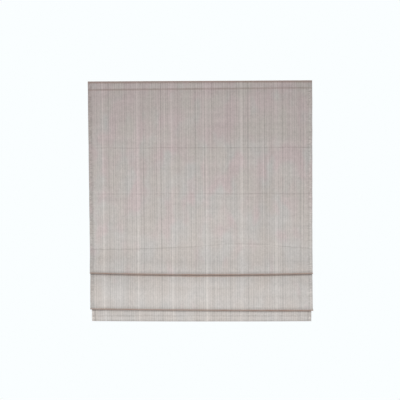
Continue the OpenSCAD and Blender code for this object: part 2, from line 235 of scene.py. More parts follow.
drawn_steel = drawn_metal("drawn_steel", rgb(150, 153, 157), rgb(186, 188, 191), 0.22)
dress(drawn_steel, "lift_shaft", "motor_screws")
spring_band = drawn_metal("spring_band", rgb(120, 124, 130), rgb(160, 163, 167), 0.2)
dress(spring_band, "clock_spring")
mill_aluminium = drawn_metal("mill_aluminium", rgb(196, 198, 200), rgb(218, 219, 221), 0.3)
dress(mill_aluminium, "bottom_bar")


# Rods and rings
# Pale glass-fibre rods run in the pockets, and small glossy rings behind them lead the cords.
def glass_fibre(name):
    material, place = start_finish(name)
    strands = place.grain((8, 1500, 1500), 3.0)
    close_finish(
        place,
        Base_Color=strands.blend(rgb(214, 208, 194), rgb(236, 232, 222)),
        Roughness=0.32 + strands * 0.2,
        Normal=strands.bump(0.15, 0.1 * MM),
    )
    return material


rod_numbers = (1, 2, 3, 4, 5)
dress(glass_fibre("rod_fibre"), *[f"rod_{i}" for i in rod_numbers])
ring_moulding = moulded("ring_moulding", rgb(236, 236, 231), rgb(246, 246, 242), 0.14)
dress(ring_moulding, *[f"rings_{i}" for i in rod_numbers])


# Hook and loop tape
# Woven nylon tape: a pile of tiny hooks on the headrail and of loops on the cloth.
def pile_tape(name, dark, light):
    material, place = start_finish(name)
    pile = place.grain((1300, 1300, 1300), 2.0)
    close_finish(
        place,
        Base_Color=pile.blend(dark, light),
        Roughness=0.92,
        Normal=pile.bump(0.8, 0.6 * MM),
    )
    return material


dress(pile_tape("hook_pile", rgb(214, 212, 206), rgb(240, 238, 233)), "hook_tape")
dress(pile_tape("loop_pile", rgb(206, 203, 196), rgb(232, 229, 223)), "loop_tape")


# The cloth's cut
# One lined cloth hangs from the headrail. Rods in sewn pockets stiffen it, and the lift cords have drawn
# its lower part up into two hanging folds. Every length below is a stretch of that one cloth.
def middle_of(node):
    """The middle of a CAD node's box."""
    low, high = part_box(node)
    return (low + high) / 2


cloth_low, cloth_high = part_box("blind_fabric")
cloth_w = cloth_high.x - cloth_low.x
cloth_t = 1.2 * MM
top_z = cloth_high.z
bottom_z = cloth_low.z
cloth_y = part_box("loop_tape")[0].y - cloth_t / 2
rod_at = {i: middle_of(f"rod_{i}") for i in rod_numbers}
top_band = 40 * MM
seam_tilt = 6 * MM
split_drop = 905 * MM
fold_1_drop = 1036 * MM
fold_2_drop = 1227 * MM
stitch_drop = 1255 * MM
fold_r = 8 * MM
fold_h = 28 * MM
sag_1_bow, sag_1_slope, sag_1_left = 28.5 * MM, 32 * MM, 7 * MM
sag_2_left, sag_2_low = 7.8 * MM, 1.6 * MM
layer_offset = 1.6 * MM
side_hem = 17 * MM
pocket_turn = 13 * MM
pocket_foot = 3 * MM
front_layer_y = rod_at[4].y - layer_offset
rear_layer_y = rod_at[4].y + layer_offset
back_leg_y = front_layer_y - layer_offset / 2
lip_y = back_leg_y - fold_r


def smooth(t):
    """A soft step from 0 to 1."""
    t = min(1.0, max(0.0, t))
    return t * t * (3 - 2 * t)


def hang(y0, z0, y1, z1, count, belly=0.0):
    """Points of a layer that hangs from one place to another. With a belly over 0 it leans most near its
    foot, and with one under 0 near its head."""
    shares = [i / count for i in range(count + 1)]
    return [(y0 + (y1 - y0) * (t + belly * t * (t - 1)), z0 + (z1 - z0) * t) for t in shares]


def arc(y, z, radius, start, end, count, height=None):
    """Points round part of a circle seen from the side, or of an oval that has a half height of its own.
    Angles are in degrees: 180 is its front, 270 its foot."""
    angles = [math.radians(start + (end - start) * i / count) for i in range(count + 1)]
    return [(y + radius * math.cos(a), z + (height or radius) * math.sin(a)) for a in angles]


def cloth_used(rows):
    """How far down the flat cloth a length ends."""
    return rows[-1][2]


def measured(points, start):
    """Adds to each point of a route how far down the flat cloth it lies."""
    rows = [(*points[0], start)]
    for (y0, z0), (y1, z1) in zip(points, points[1:]):
        rows.append((y1, z1, cloth_used(rows) + math.hypot(y1 - y0, z1 - z0)))
    return rows


def level(rows):
    """Rows of a length that doesn't sag."""
    return [(*row, 0.0) for row in rows]


def sagging(rows, from_z, to_z):
    """Adds to each row its share of the fold's sag, from none at one height to all of it at another."""
    return [(*row, smooth((from_z - row[1]) / (from_z - to_z))) for row in rows]


def sag_first(across):
    """How far the first fold's edge is above its mark: it hangs lowest in the middle."""
    return across * across * sag_1_bow - across * sag_1_slope + sag_1_left


def sag_second(across):
    """The second fold's edge is drawn up at the left."""
    rest = 1 - across
    return rest * rest * sag_2_left - sag_2_low


def lip_height(edge_drop):
    """Height of the middle of a fold's rounded lower edge."""
    return top_z - edge_drop + fold_h + cloth_t / 2


def fold_face(start_y, start_z, edge_drop, belly, count):
    """Points down the front of a fold to the foot of its lower edge, smooth where that edge begins."""
    z = lip_height(edge_drop)
    lean = (1 + belly) * (start_y - lip_y + fold_r) / (start_z - z)
    first = 180 - math.degrees(math.atan(lean * fold_h / fold_r))
    edge = arc(lip_y, z, fold_r, first, 270, count=14, height=fold_h)
    return hang(start_y, start_z, *edge[0], count, belly) + edge[1:]


def fold_rear(edge_drop, end_z):
    """Points from the foot of a fold's lower edge up its back, to the pocket that holds it."""
    z = lip_height(edge_drop)
    edge = arc(lip_y, z, fold_r, 270, 360, count=9, height=fold_h)
    return edge + hang(back_leg_y, z, front_layer_y, end_z - pocket_foot, count=12)[1:]


# Top band: turned over behind at its head, and leaning back there where it passes the headrail's top
head_turn = 10 * MM
head_r = 0.65 * MM
head_mid = (cloth_y + head_r, top_z - head_r - cloth_t / 2)
head_step = 2 * MM
head_points = [(cloth_y + 2 * head_r, top_z - head_turn)]
head_points += arc(*head_mid, head_r, 0, 180, count=6)
while head_points[-1][1] - head_step > top_z - top_band:
    head_points.append((cloth_y, head_points[-1][1] - head_step))
head_points.append((cloth_y, top_z - top_band))
head_start = top_band - cloth_used(measured(head_points, 0.0))
head_rows = level(measured(head_points, head_start))

# Main panel: flat from the top seam to below the third rod, with closer rows at each seam. The third seam
# is sewn askew: at each share of the width it is so many millimetres lower than its rod.
seam_drops = [top_z - rod_at[i].z for i in (1, 2, 3)]
panel_step = 8 * MM
seam_steps = [step * MM for step in (-7, -4, -2.2, -1, 0, 1, 2.2, 4, 7)]
seam_clear = 2 * MM
top_seam_steps = [step * MM for step in (1.5, 3, 4.5, 6, 10)]
askew = [(0.0, 13), (0.17, 12), (0.42, 3), (0.62, -16), (0.78, -16), (0.86, -2), (1.0, 8)]
askew_top = seam_drops[2] - 26 * MM
askew_step = 1.8 * MM
askew_count = 24
panel_drop = split_drop - top_band
panel_count = round(panel_drop / panel_step)
drops = [top_band + panel_drop * i / panel_count for i in range(panel_count + 1)]
for at in seam_drops:
    drops = [d for d in drops if abs(d - at) > seam_steps[-1] + seam_clear]
    drops += [at + step for step in seam_steps]
drops = [d for d in drops if d < askew_top]
drops += [askew_top + askew_step * i for i in range(askew_count)]
drops += [top_band + step for step in top_seam_steps] + [split_drop]
panel_rows = [(cloth_y, top_z - d, d, 0.0) for d in sorted(drops)]

# Two folds: each hangs in front of the pocket that its back is drawn up to
split_z = top_z - split_drop
fold_1_z = top_z - fold_1_drop
behind_foot_z = fold_1_z + 4 * MM
lip_1 = lip_height(fold_1_drop)
lip_2 = lip_height(fold_2_drop)
front_1_points = fold_face(cloth_y, split_z, fold_1_drop, belly=0.5, count=24)
front_1_rows = sagging(measured(front_1_points, split_drop), split_z, lip_1)
back_1_points = fold_rear(fold_1_drop, rod_at[4].z)
back_1_rows = sagging(measured(back_1_points, cloth_used(front_1_rows)), rod_at[4].z, lip_1)
behind_points = hang(rear_layer_y, rod_at[4].z - pocket_foot, rear_layer_y, behind_foot_z, count=8)
front_2_points = behind_points + fold_face(rear_layer_y, fold_1_z, fold_2_drop, belly=-1.0, count=26)
front_2_rows = sagging(measured(front_2_points, cloth_used(back_1_rows) + pocket_turn), fold_1_z, lip_2)
back_2_points = fold_rear(fold_2_drop, rod_at[5].z)
back_2_rows = sagging(measured(back_2_points, cloth_used(front_2_rows)), rod_at[5].z, lip_2)

# Hem: the last of the cloth, turned up behind round the bottom bar and stitched across
bar_low, bar_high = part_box("bottom_bar")
bar_clear = 1.6 * MM
hem_lap = 1.1 * cloth_t
stitch_z = top_z - stitch_drop
hem_r = (bar_high.y - bar_low.y) / 2 + bar_clear
hem_mid_z = bottom_z + hem_r + cloth_t / 2
hem_top_z = rod_at[5].z - pocket_foot
hem_points = hang(rear_layer_y, hem_top_z, rear_layer_y, hem_mid_z, count=34)
hem_points += arc(rear_layer_y + hem_r, hem_mid_z, hem_r, 180, 360, count=14)[1:]
hem_points += hang(rear_layer_y + 2 * hem_r, bar_high.z, rear_layer_y + hem_lap, stitch_z, count=8)
hem_start = cloth_used(back_2_rows) + pocket_turn
hem_rows = level(measured(hem_points, hem_start))
hem_stitch = hem_start + hem_top_z - stitch_z
hem_foot = hem_start + hem_top_z - hem_mid_z


# The cloth's weave
# A slubby plain weave in warm greys, with fine upright stripes in the warp, some paler and some darker.
# It is lined with plain cream cotton. Sewn lines are darker for their stitching and as painted shade in
# their grooves. Painted shade darkens the edges and the folds, and browns the creases at and below the
# folds' edges.
pale_first, pale_pitch, pale_half = 77 * MM, 186 * MM, 9 * MM
dark_first, dark_pitch, dark_half = 109 * MM, 93.2 * MM, 8 * MM
yarn_pitch = 1.2 * MM
lining_pitch = 0.8 * MM
end_pitch = 12.3 * MM
sewn_half = 4 * MM
top_seam_half = 7 * MM
hem_seam, hem_seam_half = hem_stitch + 1.5 * MM, 7 * MM
askew_span = 40 * MM
# Half widths and places of painted shade: at the edges, where the cloth leans out to the folds, where it
# curls under them and in their shadow below.
top_edge_half, left_edge_half, right_edge_half = 15 * MM, 17 * MM, 12 * MM
gather_half = 26 * MM
lean_1, lean_1_half = split_drop + 60 * MM, 80 * MM
lean_2_half = 115 * MM
fold_feet = (cloth_used(front_1_rows), cloth_used(front_2_rows))
curl_half = 24 * MM
foot_half = 11 * MM
hem_curl, hem_curl_half = hem_foot + 4 * MM, 10 * MM
shade_1 = next(down for y, z, down, share in front_2_rows if z < fold_1_z)
shade_2 = hem_start + hem_top_z - (top_z - fold_2_drop)
shade_half = 7 * MM
yarn_dark, yarn_light = 175, 223
# The brown of the painted shade at and below the folds' edges, along the top edge and at the top seam.
shade_brown = rgb(166, 116, 86)


def speckle(place, across_scale, down_scale, detail=1.0):
    """Noise about 0 on the flat cloth, with so many grains to the metre across it and down it."""
    return place.grain((across_scale, down_scale, 1), detail) - 0.5


def stripe_repeat(across, first, pitch, half):
    """A value that is 1 on each stripe of a repeat and 0 between."""
    along = across.math("FLOORED_MODULO", across - (first - pitch / 2), pitch)
    return along.line(pitch / 2, half)


def both_sides(across, inset, half):
    """A line at the same distance from both side edges."""
    return across.line(inset, half) + across.line(cloth_w - inset, half)


def weave_height(place, pitch):
    """Crossing threads, for a bump."""
    turn = 2 * math.pi / pitch
    return place.math("SINE", place.axis(0) * turn) * place.math("SINE", place.axis(1) * turn)


def woven_tone(place, across, down, streak, thread, weft, slub):
    """How light the yarns are: stripes and threads in the warp, which fade down the blind, and slubs."""
    broad = speckle(place, 22, 0.4)
    pinstripe = speckle(place, 85, 0.9)
    ends = place.math("SINE", across * (2 * math.pi / end_pitch) + broad * 6)
    warp = (pinstripe * 0.3 + streak * 0.54) * (1.25 - down * 0.48)
    warp = warp + broad * 0.05 + thread * 0.3 + ends * 0.1
    pale = stripe_repeat(across, pale_first, pale_pitch, pale_half)
    dark = stripe_repeat(across, dark_first, dark_pitch, dark_half)
    faded = place.grain((9, 1.6, 1), 1.0)
    stripes = (pale * 0.27 - dark * 0.17) * (faded + 0.5)
    fleck = speckle(place, 150, 110)
    cloudy = speckle(place, 3.0, 2.2)
    return 0.5 + warp + stripes + weft * 0.42 + slub * 0.38 + fleck * 0.45 + cloudy * 0.2


def seam_lines_and_shade(across, down, share, broken, top_seam_and_shade, in_hem):
    """The seams, where the needle has drawn the cloth in: broken lines, the third of them askew, darker for
    their stitching and as painted shade in their grooves.
    """
    corners = both_sides(across, side_hem, sewn_half) * in_hem
    hem_line = down.line(hem_seam, hem_seam_half) * (broken * 0.8 + 0.2)
    sewn = top_seam_and_shade * (broken * 1.6 + 0.1) + hem_line + corners
    for at in seam_drops[:2]:
        sewn = sewn + down.line(at, sewn_half) * broken * 1.3
    stops = [(place_across, 0.5 + offset * MM / askew_span) for place_across, offset in askew]
    offset = share.node("ShaderNodeValToRGB", {"stops": stops}, {"Fac": share}) * askew_span
    return sewn + (down - offset).line(seam_drops[2] - askew_span / 2, sewn_half) * broken * 1.5


def painted_edge_shade(place, across, top_edge_shade, in_hem):
    """Painted shade on the turned edges, where the cloth is double: rucked at the sides, deepest at the left
    and along the rolled top edge, and lighter at the hem's left end.
    """
    ruck = place.grain((40, 28, 1), 1.0)
    left = across.line(0, left_edge_half) * (ruck * 0.4 + 0.18) * (1 - in_hem * 1.6)
    right = across.line(cloth_w, right_edge_half) * (ruck * 0.4 + 0.12)
    return left + right + both_sides(across, side_hem, sewn_half) * ruck * 0.65 + top_edge_shade * 0.9


def painted_fold_shade(down, weft):
    """Faint painted shade where the cloth leans out to a fold and curls under its edge, and where it rounds
    the bottom bar.
    """
    lean_shade = down.line(lean_1, lean_1_half) * (weft * 0.8 + 0.2) + down.line(shade_1, lean_2_half) * 0.17
    for foot in fold_feet:
        lean_shade = lean_shade + down.line(foot, curl_half) * 0.6
    return lean_shade + down.line(hem_curl, hem_curl_half) * 0.3


def painted_shade_lines(down, share, broken, top_edge_shade, top_seam_and_shade):
    """Browned painted shade: where the folds' edges curl under, the shadow each fold casts below it, the top
    edge and the top seam.
    """
    edges = down.line(fold_feet[0], foot_half) + down.line(fold_feet[1], foot_half)
    # Painted shadow that each fold casts on the cloth below it, thinner at the sides of the first.
    shadow_below_first = (down + sag_first(share)).line(shade_1, shade_half) * share * (1 - share) * 4.8
    shadow_below_second = (down + sag_second(share)).line(shade_2, shade_half) * (share * 1.5 + 0.3)
    folds = (edges + (shadow_below_first + shadow_below_second) * 0.5) * (broken * 0.8 + 0.4)
    return folds + top_edge_shade * 0.5 + top_seam_and_shade * 0.15


def yarn_colours(red, green, blue):
    """The darkest and lightest of a yarn, as its difference from neutral grey."""
    return [rgb(shade + red, shade + green, shade + blue) for shade in (yarn_dark, yarn_light)]


def yarn_colour(place, down, tone):
    """Grey yarns, with patches of rose and patches of tan. The rose fades towards the hem, a painted warmth
    standing in for warmer light from above.
    """
    rose = (place.grain((13, 7, 1), 1.0) * 5.5 - 1.37 - down * 1.62).clipped()
    tan = (place.grain((10, 6, 1), 1.0) * 3.2 - 1.15).clipped()
    grey_yarn = tone.blend(*yarn_colours(0, -5, -8))
    rose_yarn = tone.blend(*yarn_colours(4, -10.5, -11.5))
    tan_yarn = tone.blend(*yarn_colours(1, -7, -12))
    return tan.blend(rose.blend(grey_yarn, rose_yarn), tan_yarn)


def striped_cloth(name):
    material, place = start_finish(name, "UV")
    across, down = place.axis(0), place.axis(1)
    share = across * (1 / cloth_w)
    streak = speckle(place, 150, 1.0)
    thread = speckle(place, 420, 5, 2.0)
    weft = speckle(place, 1.6, 26, 2.0)
    slub = speckle(place, 70, 45)
    broken = place.grain((16, 3, 1), 1.0)
    # Puckers by the side hems: a bump, and painted light and shade in the tone.
    gathers_and_shade = both_sides(across, side_hem / 2, gather_half) * speckle(place, 50, 160)
    # Painted shade where the cloth rolls back over its top edge.
    top_edge_shade = down.line(0, top_edge_half)
    # The top seam, darker for its stitching and as painted shadow under the band above it.
    top_seam_and_shade = (down + share * seam_tilt).line(top_band + seam_tilt, top_seam_half) * (1.5 - share * 0.6)
    in_hem = place.math("GREATER_THAN", down, shade_2)
    tone = woven_tone(place, across, down, streak, thread, weft, slub)
    # Seams darkened for their stitching and as painted shade in their grooves.
    tone = tone - seam_lines_and_shade(across, down, share, broken, top_seam_and_shade, in_hem) * 0.4
    # Painted shade at the edges and at the folds, and painted light and shade on the puckers by the side
    # hems.
    tone = tone - painted_edge_shade(place, across, top_edge_shade, in_hem) - painted_fold_shade(down, weft) - gathers_and_shade * 1.4
    yarn = yarn_colour(place, down, tone.clipped())
    # Browned painted shade where the folds' edges curl under, below each fold and at the top.
    painted_shade = painted_shade_lines(down, share, broken, top_edge_shade, top_seam_and_shade) * 0.85
    height = weave_height(place, yarn_pitch) * 0.5 + thread * 1.6 + slub + streak - gathers_and_shade * 4
    close_finish(
        place,
        Base_Color=painted_shade.clipped().blend(yarn, shade_brown),
        Roughness=0.86 + thread * 0.1,
        Normal=height.bump(0.3, 0.5 * MM),
        Sheen_Weight=0.12,
        Sheen_Roughness=0.5,
    )
    return material


def plain_lining(name):
    material, place = start_finish(name, "UV")
    yarn = place.grain((500, 500, 1), 2.0)
    cloudy = place.grain((4, 4, 1), 2.0)
    close_finish(
        place,
        Base_Color=(cloudy * 0.6 + yarn * 0.4).blend(rgb(212, 207, 198), rgb(236, 232, 225)),
        Roughness=0.88,
        Normal=(weave_height(place, lining_pitch) * 0.5 + yarn).bump(0.25, 0.4 * MM),
    )
    return material


cloth_finish = striped_cloth("slub_stripe")
lining_finish = plain_lining("lining")


# The cloth's lengths
# Each is a grid of the cloth over all its columns, closer together at the side hems, set out along its
# rows and given its thickness. The lengths part only where the blind folds or a rod draws them up.
edge_columns = [step * MM / cloth_w for step in (0, 0.8, 2, 4, 8, 12, 15, 16.2, 17, 17.8, 19, 23)]
inner_count = 150
inner_span = 1 - 2 * edge_columns[-1]
inner_columns = [edge_columns[-1] + inner_span * i / inner_count for i in range(inner_count + 1)]
columns = edge_columns[:-1] + inner_columns + [1 - c for c in reversed(edge_columns[:-1])]

# How the lengths depart from flat: depths, half widths, shares, and rates to the metre or to the width of
# the cloth. A seed sets one wander apart from the next.
draw_in_left, draw_in_right = 13 * MM, 2 * MM
hem_step = 6 * MM
flare, flare_half = 3.5 * MM, 9 * MM
edge_wander, edge_rate = 0.7 * MM, 17
left_seed, right_seed = 1.5, 6.5
side_seed, seam_seed, stray_seed = 9, 7, 3
noise_layer = 0.3
turn_back_deep, turn_back_w = 1.6 * MM, 3.5 * MM
side_seam_deep, side_seam_half = 0.5 * MM, 1.1 * MM
side_pucker, side_pucker_half, side_pucker_rate = 0.9 * MM, 16 * MM, 60
broad_ripple, broad_across, broad_down = 1.6 * MM, 5, 4
fine_ripple, fine_across, fine_down = 0.5 * MM, 20.5, 16.4
calm_at_edge = 0.5
top_seam_deep, top_groove_half = 1.2 * MM, 3.2 * MM
head_lean, head_lean_half = 1.8 * MM, 6 * MM
rod_seam_deep, rod_seam_vary, rod_seam_rate = 0.75 * MM, 0.5 * MM, 34
rod_groove, rod_groove_half = 0.9, 1.8 * MM
rod_swell, rod_swell_at, rod_swell_half = 0.5, 7 * MM, 4 * MM
seam_stray, seam_stray_half, seam_stray_rate = 2.2 * MM, 55 * MM, 6
seam_fade, stray_fade = 6 * MM, 40 * MM
hem_seam_deep, hem_groove_half = 0.9 * MM, 2.2 * MM
hem_swell = 2 * MM
hem_sag, hem_sag_at = 2 * MM, 0.55


def bell(gap, width):
    """1 at no gap, falling away softly over a width."""
    return math.exp(-((gap / width) ** 2))


def waver(first, second):
    """Slow random wander about 0 as two numbers change, the same at each run."""
    return noise.noise(Vector((first, second, noise_layer)))


def no_sag(across):
    return 0.0


def no_dip(across, down):
    return 0.0, 0.0


def seam_offset(number, across):
    """How much lower a seam is sewn than its rod: only the third one is askew."""
    if number < 2:
        return 0.0
    for (a0, low), (a1, high) in zip(askew, askew[1:]):
        if across <= a1:
            return (low + (high - low) * (across - a0) / (a1 - a0)) * MM
    return askew[-1][1] * MM


def top_groove(across, down):
    """How far the cloth is drawn in at the top seam, which slopes down to the left."""
    return top_seam_deep * bell(down - top_band - seam_tilt * (1 - across), top_groove_half)


def panel_dip(across, down):
    """How far the panel's face is drawn in at its seams, which pucker, and how far they stray upwards."""
    groove = top_groove(across, down)
    lift = 0.0
    for number, at in enumerate(seam_drops):
        gap = down - at - seam_offset(number, across)
        pucker = rod_seam_deep + rod_seam_vary * waver(across * rod_seam_rate, number * seam_seed)
        pucker *= smooth((split_drop - down) / seam_fade)
        groove += rod_groove * pucker * bell(gap, rod_groove_half)
        groove -= rod_swell * pucker * bell(abs(gap) - rod_swell_at, rod_swell_half)
        stray = seam_stray * waver(across * seam_stray_rate, number * stray_seed)
        lift += stray * bell(gap, seam_stray_half)
    return groove, lift * smooth((split_drop - down) / stray_fade)


def head_dip(across, down):
    """The band is drawn in at its seam and leans back at its head."""
    return top_groove(across, down) + head_lean * bell(max(0.0, down), head_lean_half), 0.0


def hem_dip(across, down):
    """The hem is drawn in at its stitching, swells over the bar below and sags near its middle."""
    below = (down - hem_stitch) / (hem_foot - hem_stitch)
    swell = math.sin(math.pi * below) if 0 < below < 1 else 0.0
    sag = hem_sag * (1 - (2 * (across - hem_sag_at)) ** 2) * smooth(below)
    return hem_seam_deep * bell(down - hem_stitch, hem_groove_half) - hem_swell * swell, -sag


class Length:
    """A length of the cloth: its rows (depth, height, distance down the flat cloth, share of sag) and how
    its edge sags, its seams dip, its sides are inset and its fold flares. Behind, the face looks back."""

    def __init__(self, rows, sag=no_sag, dip=no_dip, inset=0.0, flare_z=None, behind=False):
        self.rows = rows
        self.sag = sag
        self.dip = dip
        self.inset = inset
        self.flare_z = flare_z
        self.turned = -1.0 if behind else 1.0

    def edges(self, z):
        """The two edges at a height: the cloth draws in towards the hem and flares at the foot of a fold."""
        t = (top_z - z) / fold_2_drop
        inset = self.inset
        if self.flare_z is not None:
            inset -= flare * bell(z - self.flare_z, flare_half)
        left = cloth_low.x + draw_in_left * t + inset + edge_wander * waver(z * edge_rate, left_seed)
        right = cloth_high.x - draw_in_right * t - inset + edge_wander * waver(z * edge_rate, right_seed)
        return left, right

    def point(self, across, row):
        """The middle of the cloth at a share of its width, on a row."""
        y, z, down, share = row
        z = z + share * self.sag(across)
        left, right = self.edges(z)
        from_edge = min(across, 1 - across) * cloth_w
        turn_back = turn_back_deep * max(0.0, 1 - from_edge / turn_back_w) ** 2
        sewn = side_seam_deep * bell(from_edge - side_hem, side_seam_half)
        near_seam = bell(from_edge - side_hem, side_pucker_half)
        pucker = side_pucker * near_seam * waver(down * side_pucker_rate, round(across) * side_seed)
        ripple = broad_ripple * waver(across * broad_across, down * broad_down)
        ripple += fine_ripple * waver(across * fine_across, down * fine_down)
        groove, lift = self.dip(across, down)
        y += self.turned * (turn_back + sewn + groove) + (ripple + pucker) * (1 - calm_at_edge * share)
        return Vector((left + (right - left) * across, y, z + lift))

    def grid(self, name):
        """The length as a mesh, with the flat cloth as its UV map, in metres."""
        row_count = len(self.rows)
        column_count = len(columns)
        bpy.ops.object.select_all(action="DESELECT")
        bpy.ops.mesh.primitive_grid_add(
            x_subdivisions=column_count - 1, y_subdivisions=row_count - 1, size=1,
        )
        piece = bpy.context.object
        piece.name = piece.data.name = name
        flat = []
        for index, vertex in enumerate(piece.data.vertices):
            row = self.rows[row_count - 1 - index // column_count]
            across = columns[index % column_count]
            vertex.co = self.point(across, row)
            flat.append((across * cloth_w, row[2]))
        uv = piece.data.uv_layers.active
        for loop in piece.data.loops:
            uv.data[loop.index].uv = flat[loop.vertex_index]
        return piece


def thicken(piece, thickness, *finishes):
    """Gives a sheet its finish and thickness, and sets it in place of the CAD cloth. With two finishes the
    second is on its back."""
    for finish in finishes:
        piece.data.materials.append(finish)
    solid = piece.modifiers.new("thickness", "SOLIDIFY")
    solid.thickness = thickness
    solid.offset = 0.0
    solid.material_offset = len(finishes) - 1
    bpy.ops.object.modifier_apply(modifier=solid.name)
    bpy.ops.object.shade_smooth_by_angle(angle=math.radians(40))
    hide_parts("blind_fabric")


def hang_length(name, length):
    """Makes a length of the striped cloth with its lining."""
    piece = length.grid(name)
    thicken(piece, cloth_t, cloth_finish, lining_finish)
    left, right = length.edges(length.rows[0][1])
    drop = cloth_used(length.rows) - length.rows[0][2]
    right - left
    return piece


def face_forward(piece, length, lip_z):
    """A fold's back turns its face to the front once it is let down, and the bodies only slide. So above
    the fold's lower edge, where the layers hide both its sides, they are exchanged."""
    for face in piece.data.polygons:
        across = (face.center.x - cloth_low.x) / cloth_w
        if abs(face.normal.y) > 0.5 and face.center.z > lip_z + length.sag(across):
            face.material_index = 1 - face.material_index


head_length = Length(head_rows, dip=head_dip)
hem_length = Length(hem_rows, dip=hem_dip, inset=hem_step)
foot_1, foot_2 = lip_1 - fold_h, lip_2 - fold_h
front_1 = Length(front_1_rows, sag_first, flare_z=foot_1)
back_1 = Length(back_1_rows, sag_first, flare_z=foot_1, behind=True)
front_2 = Length(front_2_rows, sag_second, flare_z=foot_2)
back_2 = Length(back_2_rows, sag_second, flare_z=foot_2, behind=True)

cloth_head = hang_length("cloth_head", head_length)
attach(cloth_head, "headrail")

lift_travel = next(j["range_m"][1] for j in frame["joints"] if j["name"] == "lift")
cloth_panel = hang_length("cloth_panel", Length(panel_rows, dip=panel_dip))
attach(cloth_panel, "headrail")
1 - lift_travel / panel_drop
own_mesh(cloth_panel)

fold_1_front = hang_length("fold_1_front", front_1)
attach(fold_1_front, "rod_3")
fold_1_back = hang_length("fold_1_back", back_1)
face_forward(fold_1_back, back_1, lip_1)
leg_1_z = lip_1 + sag_first(0)
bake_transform(fold_1_back)

fold_2_front = hang_length("fold_2_front", front_2)
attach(fold_2_front, "rod_4")
fold_2_back = hang_length("fold_2_back", back_2)
face_forward(fold_2_back, back_2, lip_2)
leg_2_z = lip_2 + sag_second(0)
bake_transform(fold_2_back)

cloth_hem = hang_length("cloth_hem", hem_length)
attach(cloth_hem, "bottom_bar")


# Rod pockets
# Tunnels of lining sewn to the back of the cloth, one round each rod, open at both ends. The two lower
# ones are striped in front, where the cloth runs on over them when the folds are let down.
rod_body = {1: "rod_1", 2: "rod_2", 3: "rod_3", 4: "rod_4", 5: "bottom_bar"}
pocket_clear = 1.2 * MM
pocket_r = (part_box("rod_1")[1].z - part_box("rod_1")[0].z) / 2 + pocket_clear
pocket_t = 0.9 * MM
pocket_gap = 0.5 * MM
pocket_inset = 2 * MM
tail_far, tail_near, tail_below = 9 * MM, 5 * MM, 3 * MM
seam_y = cloth_y + cloth_t / 2 + pocket_t / 2 + pocket_gap


def pocket(number, points, start, striped=False):
    """A tunnel along a route seen from the side, which starts at a distance down the cloth."""
    rows = level(measured(points, start))
    piece = Length(rows, inset=pocket_inset).grid(f"pocket_{number}")
    thicken(piece, pocket_t, lining_finish)
    if striped:
        piece.data.materials.append(cloth_finish)
        for face in piece.data.polygons:
            face.material_index = int(face.center.y < rod_at[number].y)
    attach(piece, rod_body[number])
    flat = (cloth_w - 2 * pocket_inset, cloth_used(rows) - start)


for number in (1, 2, 3):
    y, z = rod_at[number].y, rod_at[number].z
    points = [(seam_y, z + tail_far), (seam_y, z + tail_near)]
    points += arc(y, z, pocket_r, 120, -120, count=12)
    points += [(seam_y, z - tail_near), (seam_y, z - tail_far)]
    pocket(number, points, top_z - z - tail_far)
for number, fold_back in ((4, back_1_rows), (5, back_2_rows)):
    y, z = rod_at[number].y, rod_at[number].z
    points = [(front_layer_y, z - pocket_r - tail_below)]
    points += arc(y, z, pocket_r, 220, -40, count=13)
    points += [(rear_layer_y, z - pocket_r - tail_below)]
    pocket(number, points, cloth_used(fold_back), striped=True)


# Sewing thread
# Lock stitches along the top seam and the hem, and the turns of thread that tie each ring to its pocket.
def sewing_thread(name):
    material, place = start_finish(name)
    twist = place.grain((1500, 1500, 1500), 1.0)
    close_finish(
        place,
        Base_Color=twist.blend(rgb(158, 148, 141), rgb(196, 188, 181)),
        Roughness=0.7,
        Normal=twist.bump(0.4, 0.2 * MM),
    )
    return material


thread_finish = sewing_thread("sewing_thread")
thread_r = 0.32 * MM
stitch_half = 1.35 * MM
stitch_pitch = 3.6 * MM


def finish_thread(piece, name, body):
    piece.name = piece.data.name = name
    piece.data.materials.append(thread_finish)
    bpy.ops.object.shade_smooth()
    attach(piece, body)


def stitch_row(name, length, row, tilt, body):
    """A row of stitches across the face of a length of cloth, sloping down to the left by a tilt. One is
    modelled, then repeated and laid on the cloth."""
    left, right = length.edges(row[1])
    count = int((right - left - 2 * side_hem) / stitch_pitch)
    first = (left + right - (count - 1) * stitch_pitch) / 2
    bpy.ops.object.select_all(action="DESELECT")
    bpy.ops.mesh.primitive_uv_sphere_add(segments=6, ring_count=4, radius=1)
    piece = bpy.context.object
    bpy.ops.object.mode_set(mode="EDIT")
    bpy.ops.transform.resize(value=(stitch_half, thread_r, thread_r))
    bpy.ops.transform.translate(value=(first, 0, 0))
    bpy.ops.object.mode_set(mode="OBJECT")
    row_of = piece.modifiers.new("row", "ARRAY")
    row_of.count = count
    row_of.use_relative_offset = False
    row_of.use_constant_offset = True
    row_of.constant_offset_displace = (stitch_pitch, 0, 0)
    bpy.ops.object.modifier_apply(modifier=row_of.name)
    y, z, down, share = row
    for vertex in piece.data.vertices:
        across = (vertex.co.x - left) / (right - left)
        drop = tilt * (1 - across)
        seat = length.point(across, (y, z - drop, down + drop, share))
        vertex.co.y += seat.y - cloth_t / 2
        vertex.co.z += seat.z
    finish_thread(piece, name, body)


stitch_row("head_stitches", head_length, (cloth_y, top_z - top_band, top_band, 0.0), seam_tilt, "headrail")
stitch_row("hem_stitches", hem_length, (rear_layer_y, stitch_z, hem_stitch, 0.0), 0.0, "bottom_bar")

sides = ("left", "centre", "right")
cord_xs = [middle_of(f"lift_cord_{side}").x for side in sides]
tie_count = 5
tie_step = 0.62 * MM
tie_lean = math.radians(7)
tie_forward = 0.2 * MM
wire_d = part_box("rings_1")[1].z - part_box("rings_1")[0].z


